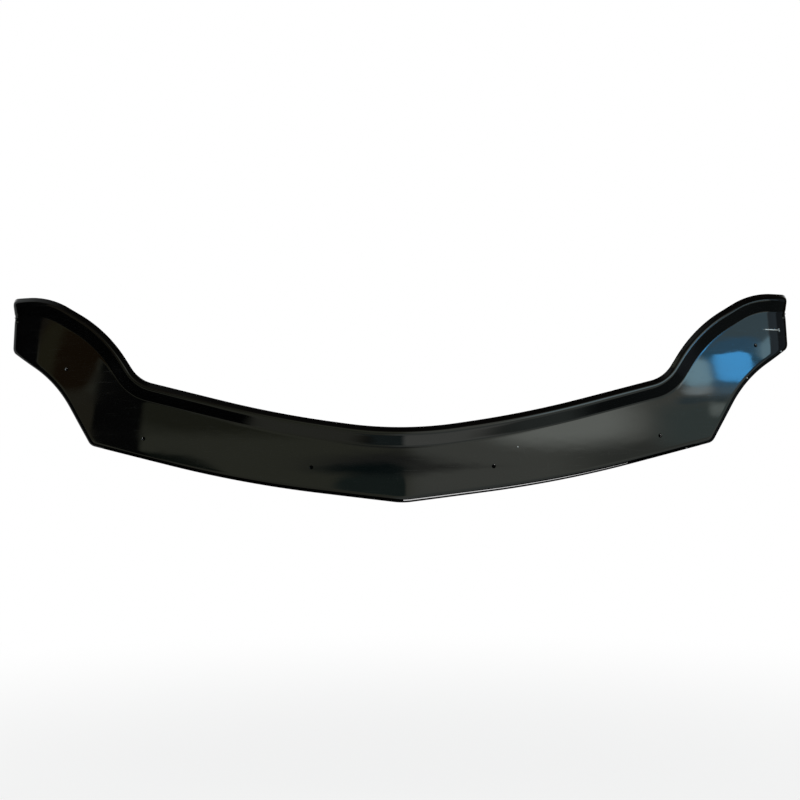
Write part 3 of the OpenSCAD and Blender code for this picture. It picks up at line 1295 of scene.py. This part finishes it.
@dataclass(frozen=True)
class Studio:
    """The pale floor and the soft lamp over the camera."""

    floor_height: float = -0.62
    floor_half: float = 30.0
    floor_colour: Colour = (0.86, 0.86, 0.86)
    floor_own_white: float = 0.82
    floor_fade: Span = (0.7, 2.6)
    lamps: tuple[Lamp, ...] = (
        Lamp(
            "soft_key",
            place=(-0.5, -2.3, 2.4),
            aim=(0, 0, 0),
            long_side=2.4,
            short_side=2.4,
            power=42.0,
            mirrored=False,
        ),
    )

    def build(self) -> None:
        """Lays the floor and hangs the lamps."""
        self.lay_floor()
        for lamp in self.lamps:
            lamp.hang()

    def lay_floor(self) -> None:
        """A wide pale floor that keeps the shadow and meets the white behind."""
        bm = bmesh.new()
        bmesh.ops.create_grid(bm, x_segments=4, y_segments=4, size=self.floor_half)
        bmesh.ops.translate(bm, verts=bm.verts[:], vec=(0, 0, self.floor_height))
        mesh = bpy.data.meshes.new("studio_floor")
        bm.to_mesh(mesh)
        bm.free()
        material = bpy.data.materials.new("pale_floor")
        material.use_nodes = True
        material.node_tree.nodes.clear()
        wires = Wiring(material.node_tree)
        rays = wires.add("ShaderNodeLightPath")
        seen = wires.sum("ADD", rays.outputs["Is Camera Ray"], rays.outputs["Is Glossy Ray"])
        seen = wires.sum("MINIMUM", wires.sum("ADD", seen, rays.outputs["Is Transmission Ray"]), 1.0)
        place = wires.add("ShaderNodeTexCoord").outputs["Object"]
        away = wires.add("ShaderNodeVectorMath", operation="LENGTH")
        wires.feed(away.inputs[0], place)
        own = wires.ramp(away.outputs["Value"], *self.floor_fade, self.floor_own_white, 1.0)
        share = wires.sum("MULTIPLY", seen, own)
        matt = wires.add("ShaderNodeBsdfDiffuse")
        matt.inputs["Color"].default_value = (*self.floor_colour, 1)
        glow = wires.add("ShaderNodeEmission")
        glow.inputs["Strength"].default_value = 1.0
        mix = wires.add("ShaderNodeMixShader")
        wires.feed(mix.inputs[0], share)
        wires.feed(mix.inputs[1], matt.outputs[0])
        wires.feed(mix.inputs[2], glow.outputs[0])
        wires.feed(wires.add("ShaderNodeOutputMaterial").inputs["Surface"], mix.outputs[0])
        mesh.materials.append(material)
        floor = add_piece("studio_floor", mesh)
        floor.visible_glossy = False


@dataclass(frozen=True)
class EdgeCard:
    """A card just below the lower edge that only the gloss sees.

    Attributes:
        name: the object's name.
        left: where it starts across the sheet.
        right: where it ends.
        below: how far under the lower outline it lies.
        front: how far it reaches before the face.
        back: how far before the face its rear edge lies, below zero where that is behind it.
        glow: its light, with zero for black.
        taper: the share of its depth that is gone at its right end.
    """

    name: str
    left: float
    right: float
    below: float
    front: float
    back: float
    glow: float
    taper: float = 0.0

    def build(self, drilled: DrilledSheet) -> None:
        """Lays the card along the sheet's lower outline.

        Args:
            drilled: the sheet that it follows.
        """
        face = drilled.face
        lower = face.half_lower().both_sides().points(face.whole_plan())
        run = [point for point in lower if self.left < point.x < self.right]
        columns = []
        for point in run:
            share = self.taper * (point.x - self.left) / (self.right - self.left)
            front = self.front + (self.back - self.front) * share
            columns.append([face.lifted(point, front), face.lifted(point, self.back)])
        mesh = laid_grid(self.name, columns, drilled.origin() + Vector((0, 0, self.below)))
        material = bpy.data.materials.new(self.name)
        material.use_nodes = True
        material.node_tree.nodes.clear()
        wires = Wiring(material.node_tree)
        light = wires.add("ShaderNodeEmission")
        light.inputs["Strength"].default_value = self.glow
        wires.feed(wires.add("ShaderNodeOutputMaterial").inputs["Surface"], light.outputs[0])
        mesh.materials.append(material)
        card = add_piece(self.name, mesh)
        card.visible_camera = False
        card.visible_diffuse = False
        card.visible_transmission = False
        card.visible_shadow = False


EDGE_CARDS = (
    EdgeCard("dark_edge_card", left=-0.53, right=0.53, below=0.012, front=0.02, back=-0.03, glow=0.0),
    EdgeCard(
        "bright_edge_card",
        left=0.0,
        right=0.4,
        below=0.0106,
        front=0.0098,
        back=0.0,
        glow=12.0,
        taper=0.85,
    ),
)


@dataclass(frozen=True)
class PhotoCamera:
    """The camera as it stood for the photograph."""

    place: Colour = (-0.02097, -2.51394, 0.07358)
    yaw: float = math.radians(0.394)
    pitch: float = math.radians(0.894)
    roll: float = math.radians(-0.337)
    focal_pixels: float = 1488.2
    frame_pixels: float = 800.0
    sensor: float = 36.0

    def build(self) -> None:
        """Adds the camera and makes it the scene's own."""
        data = bpy.data.cameras.new("photo_camera")
        data.sensor_width = self.sensor
        data.lens = self.focal_pixels * self.sensor / self.frame_pixels
        data.clip_end = 200.0
        camera = bpy.data.objects.new("photo_camera", data)
        bpy.context.scene.collection.objects.link(camera)
        level = Vector((math.cos(self.yaw), -math.sin(self.yaw), 0))
        ahead = Vector((
            math.sin(self.yaw) * math.cos(self.pitch),
            math.cos(self.yaw) * math.cos(self.pitch),
            math.sin(self.pitch),
        ))
        rise = level.cross(ahead)
        right = level * math.cos(self.roll) + rise * math.sin(self.roll)
        up = rise * math.cos(self.roll) - level * math.sin(self.roll)
        turn = Matrix((right, up, -ahead)).transposed().to_4x4()
        camera.matrix_world = Matrix.Translation(self.place) @ turn
        bpy.context.scene.camera = camera


def main() -> None:
    """Builds the camera, the room and the sheet, and says what was made."""
    logging.basicConfig(level=logging.INFO, format="%(message)s")
    bpy.context.scene.view_settings.view_transform = "Standard"
    PhotoCamera().build()
    Room().build()
    Studio().build()
    log.info("camera, room and floor are set")
    skin = MouldedSkin().group()
    gloss = BlackPlastic("gloss_black", 0.03, 0.07, marks=Marks()).build(skin)
    satin = BlackPlastic("satin_black", 0.3, 0.42).build(skin)
    drilled = DrilledSheet()
    sheet = drilled.build(gloss, satin)
    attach(sheet, "root")
    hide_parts("shield")
    for card in EDGE_CARDS:
        card.build(drilled)
    # Painted shade: dark discs near the back of the screw holes stand in for the darkness behind them.
    shade = BlackPlastic("bore_shade", 0.8, 0.9, ior=1.08).build(skin)
    painted_shade = drilled.shade_bores(shade)
    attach(painted_shade, "root")
    triangles = sum(len(face.vertices) - 2 for face in sheet.data.polygons)
    log.info("%s: %d triangles", sheet.name, triangles)


if __name__ == "__main__":
    main()
